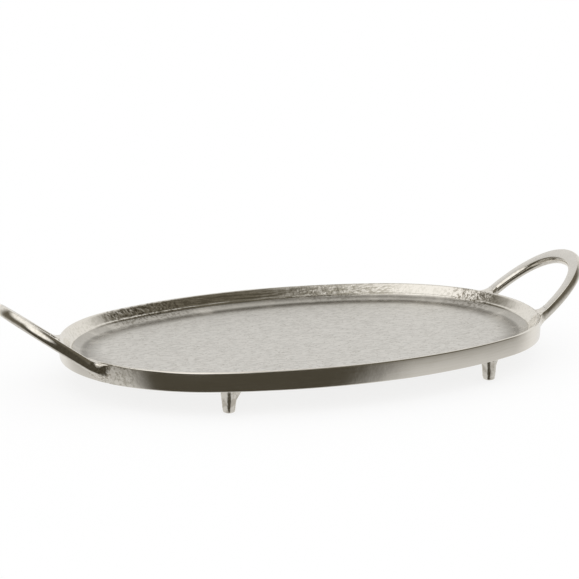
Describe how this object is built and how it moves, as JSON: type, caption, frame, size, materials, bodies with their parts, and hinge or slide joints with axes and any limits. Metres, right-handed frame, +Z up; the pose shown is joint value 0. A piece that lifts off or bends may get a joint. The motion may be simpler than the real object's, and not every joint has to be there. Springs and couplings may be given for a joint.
{
  "type": "serving tray",
  "caption": "Oval cast metal serving tray with a raised sloping rim, two upturned loop handles and short tapered feet.",
  "frame": {"origin": "on the table under the middle of the dish, level with the tips of the feet", "axes": "+Z up, +X along the tray towards the right-hand handle, +Y across the tray towards the rear"},
  "size_m": [0.6346, 0.34, 0.091],
  "materials": {
    "dish_nickel": "raw nickel-toned casting, brushed band, mottled rim and fine-grained matte floor",
    "handle_nickel": "satin upper face with smoother polished edges",
    "foot_nickel": "rough as-cast, lightly polished",
    "handle_weld_nickel": "dressed smooth and polished with the rim",
    "foot_weld_nickel": "rough dressed weld metal"
  },
  "bodies": {
    "root": {"tray_body": "dish_nickel", "handle_left": "handle_nickel", "handle_right": "handle_nickel", "foot_front_left": "foot_nickel", "foot_front_right": "foot_nickel", "foot_rear_left": "foot_nickel", "foot_rear_right": "foot_nickel", "handle_weld_left_front": "handle_weld_nickel", "handle_weld_left_rear": "handle_weld_nickel", "handle_weld_right_front": "handle_weld_nickel", "handle_weld_right_rear": "handle_weld_nickel", "foot_weld_front_left": "foot_weld_nickel", "foot_weld_front_right": "foot_weld_nickel", "foot_weld_rear_left": "foot_weld_nickel", "foot_weld_rear_right": "foot_weld_nickel"}
  },
  "joints": []
}
